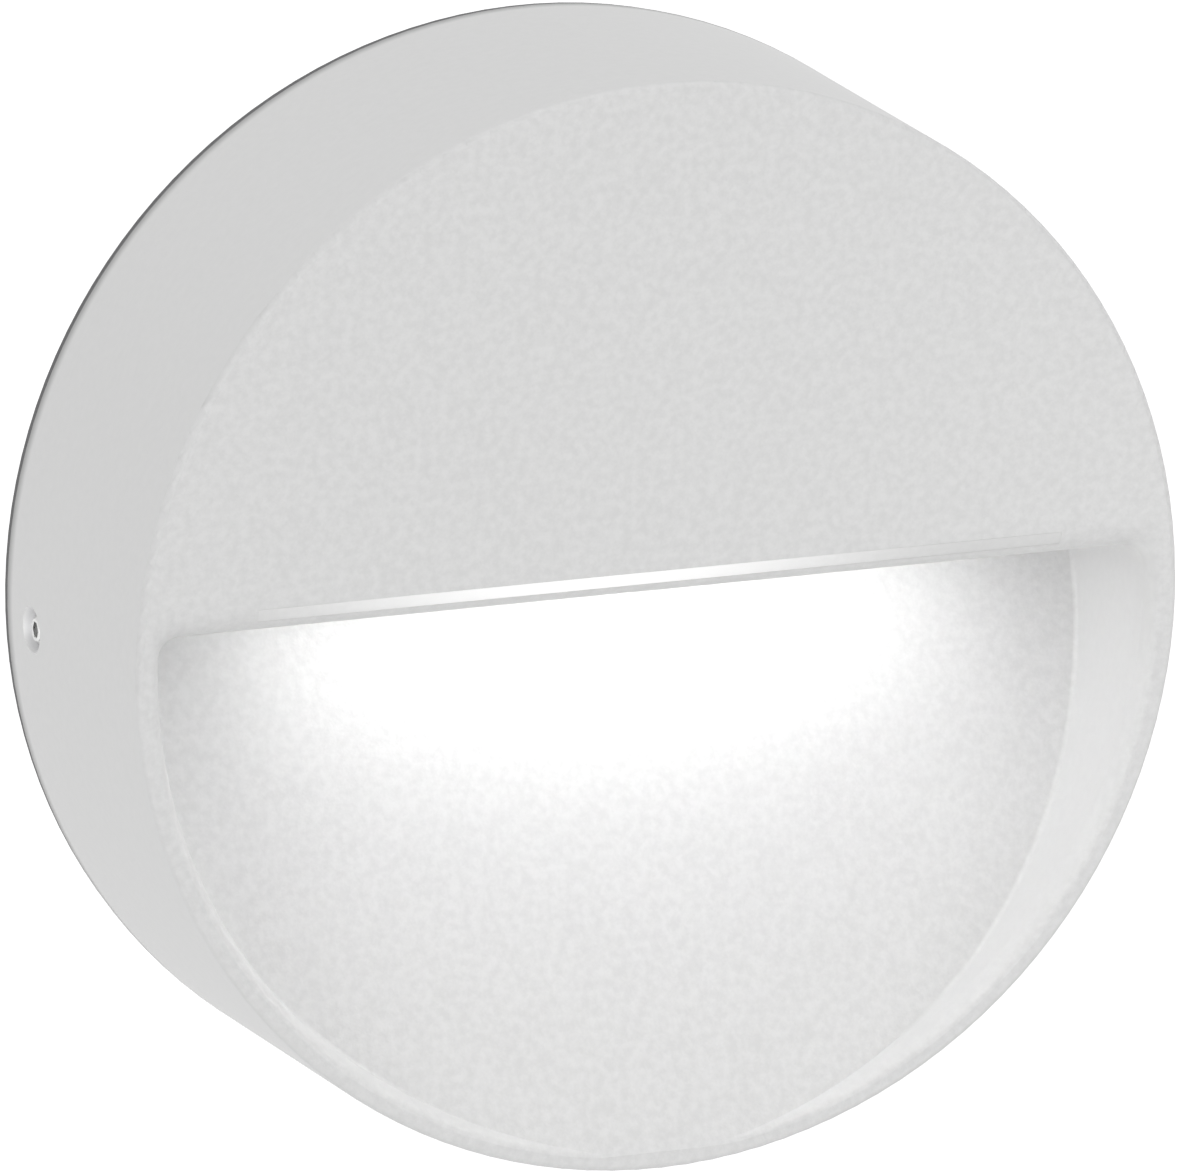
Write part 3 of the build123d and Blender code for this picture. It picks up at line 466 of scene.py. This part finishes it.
def addSetScrew(look, name, node, body, side):
    low, high = (np.array(corner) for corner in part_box(node))
    axisY, axisZ = (low[1] + high[1]) / 2, (low[2] + high[2]) / 2
    face = high[0] if side > 0 else low[0]
    length = high[0] - low[0] - look["pointLength"]
    station, radius, turn = setScrewSurface(look, length)
    count = len(turn)
    x = face - side * np.repeat(station[:, None], count, 1)
    points = np.stack([x, axisY + radius * np.cos(turn), axisZ + side * radius * np.sin(turn)], -1)
    rowStart = np.arange(len(station) - 1)[:, None] * count
    step = np.arange(count)
    first = (rowStart + step).ravel()
    second = (rowStart + np.roll(step, -1)).ravel()
    quads = np.stack([first, second, second + count, first + count], -1)
    data = bpy.data.meshes.new(name)
    data.from_pydata(points.reshape(-1, 3).tolist(), [], quads.tolist())
    closeScrewSkin(data, look)
    piece = bpy.data.objects.new(name, data)
    scene.collection.objects.link(piece)
    data.materials.append(screwSteel)
    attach(piece, body)
    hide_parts(node)


screwSteel = grainFinish({
    "name": "setScrewSteel", "dark": (0.60, 0.60, 0.60), "light": (0.72, 0.72, 0.71), "metal": 1.0,
    "perMetre": 2500, "stretch": (1, 0.3, 0.3), "rough": (0.22, 0.36), "relief": 0.000006,
})
addSetScrew(setScrewLook, "leftSetScrew", "left_set_screw", "left_screw", -1)
addSetScrew(setScrewLook, "rightSetScrew", "right_set_screw", "right_screw", 1)
print("set screws threaded")


# studio: white surroundings and even light, soft lamps from the left and above, a small one near the right
def seenDirectly(tree):
    path = addNode(tree, "ShaderNodeLightPath")
    seen = mathOf(tree, "MAXIMUM", path.outputs["Is Camera Ray"], path.outputs["Is Glossy Ray"])
    return mathOf(tree, "MAXIMUM", seen, path.outputs["Is Transmission Ray"])


floorLook = {
    "level": -0.9,
    "half": 9.0,
    "tone": (0.85, 0.85, 0.85, 1),
    "rough": 0.9,
    "lift": 0.6,  # added where it is seen directly, so that it reads as white
}


def addFloor(look):
    half, level = look["half"], look["level"]
    corners = [(x, y, level) for x, y in ((-half, -half), (half, -half), (half, half), (-half, half))]
    data = bpy.data.meshes.new("floor")
    data.from_pydata(corners, [], [(0, 1, 2, 3)])
    floor = bpy.data.objects.new("floor", data)
    scene.collection.objects.link(floor)
    finish, tree, shader = newFinish("paleFloor")
    feed(tree, shader, {
        "Base Color": look["tone"],
        "Roughness": look["rough"],
        "Specular IOR Level": 0.0,
        "Emission Color": (1, 1, 1, 1),
        "Emission Strength": mathOf(tree, "MULTIPLY", seenDirectly(tree), look["lift"]),
    })
    data.materials.append(finish)


addFloor(floorLook)

studioLook = {
    "ambient": 0.62,
    "seen": 1.0,  # white, where the surroundings are seen directly
    "lamps": {
        "leftSoft": {"place": (-2.4, -1.6, -0.1), "size": 2.2, "power": 18.0},
        "topSoft": {"place": (0.2, -1.8, 2.3), "size": 2.0, "power": 9.0},
        "topRight": {"place": (1.2, -0.5, 2.2), "size": 1.2, "power": 5.5},
        "rightNear": {"place": (0.36, -0.46, -0.08), "size": 0.3, "power": 0.32},
    },
}


def addLamp(name, look):
    data = bpy.data.lights.new(name, "AREA")
    data.size = look["size"]
    data.energy = look["power"]
    lamp = bpy.data.objects.new(name, data)
    scene.collection.objects.link(lamp)
    lamp.location = look["place"]
    faceAlong(lamp, -Vector(look["place"]))


def addStudio(look):
    world = bpy.data.worlds.new("studio")
    scene.world = world
    world.use_nodes = True
    tree = world.node_tree
    strength = rangeOf(tree, seenDirectly(tree), look["ambient"], look["seen"])
    feed(tree, tree.nodes["Background"], {"Color": (1, 1, 1, 1), "Strength": strength})
    for name, lampLook in look["lamps"].items():
        addLamp(name, lampLook)


addStudio(studioLook)
print("studio lit")
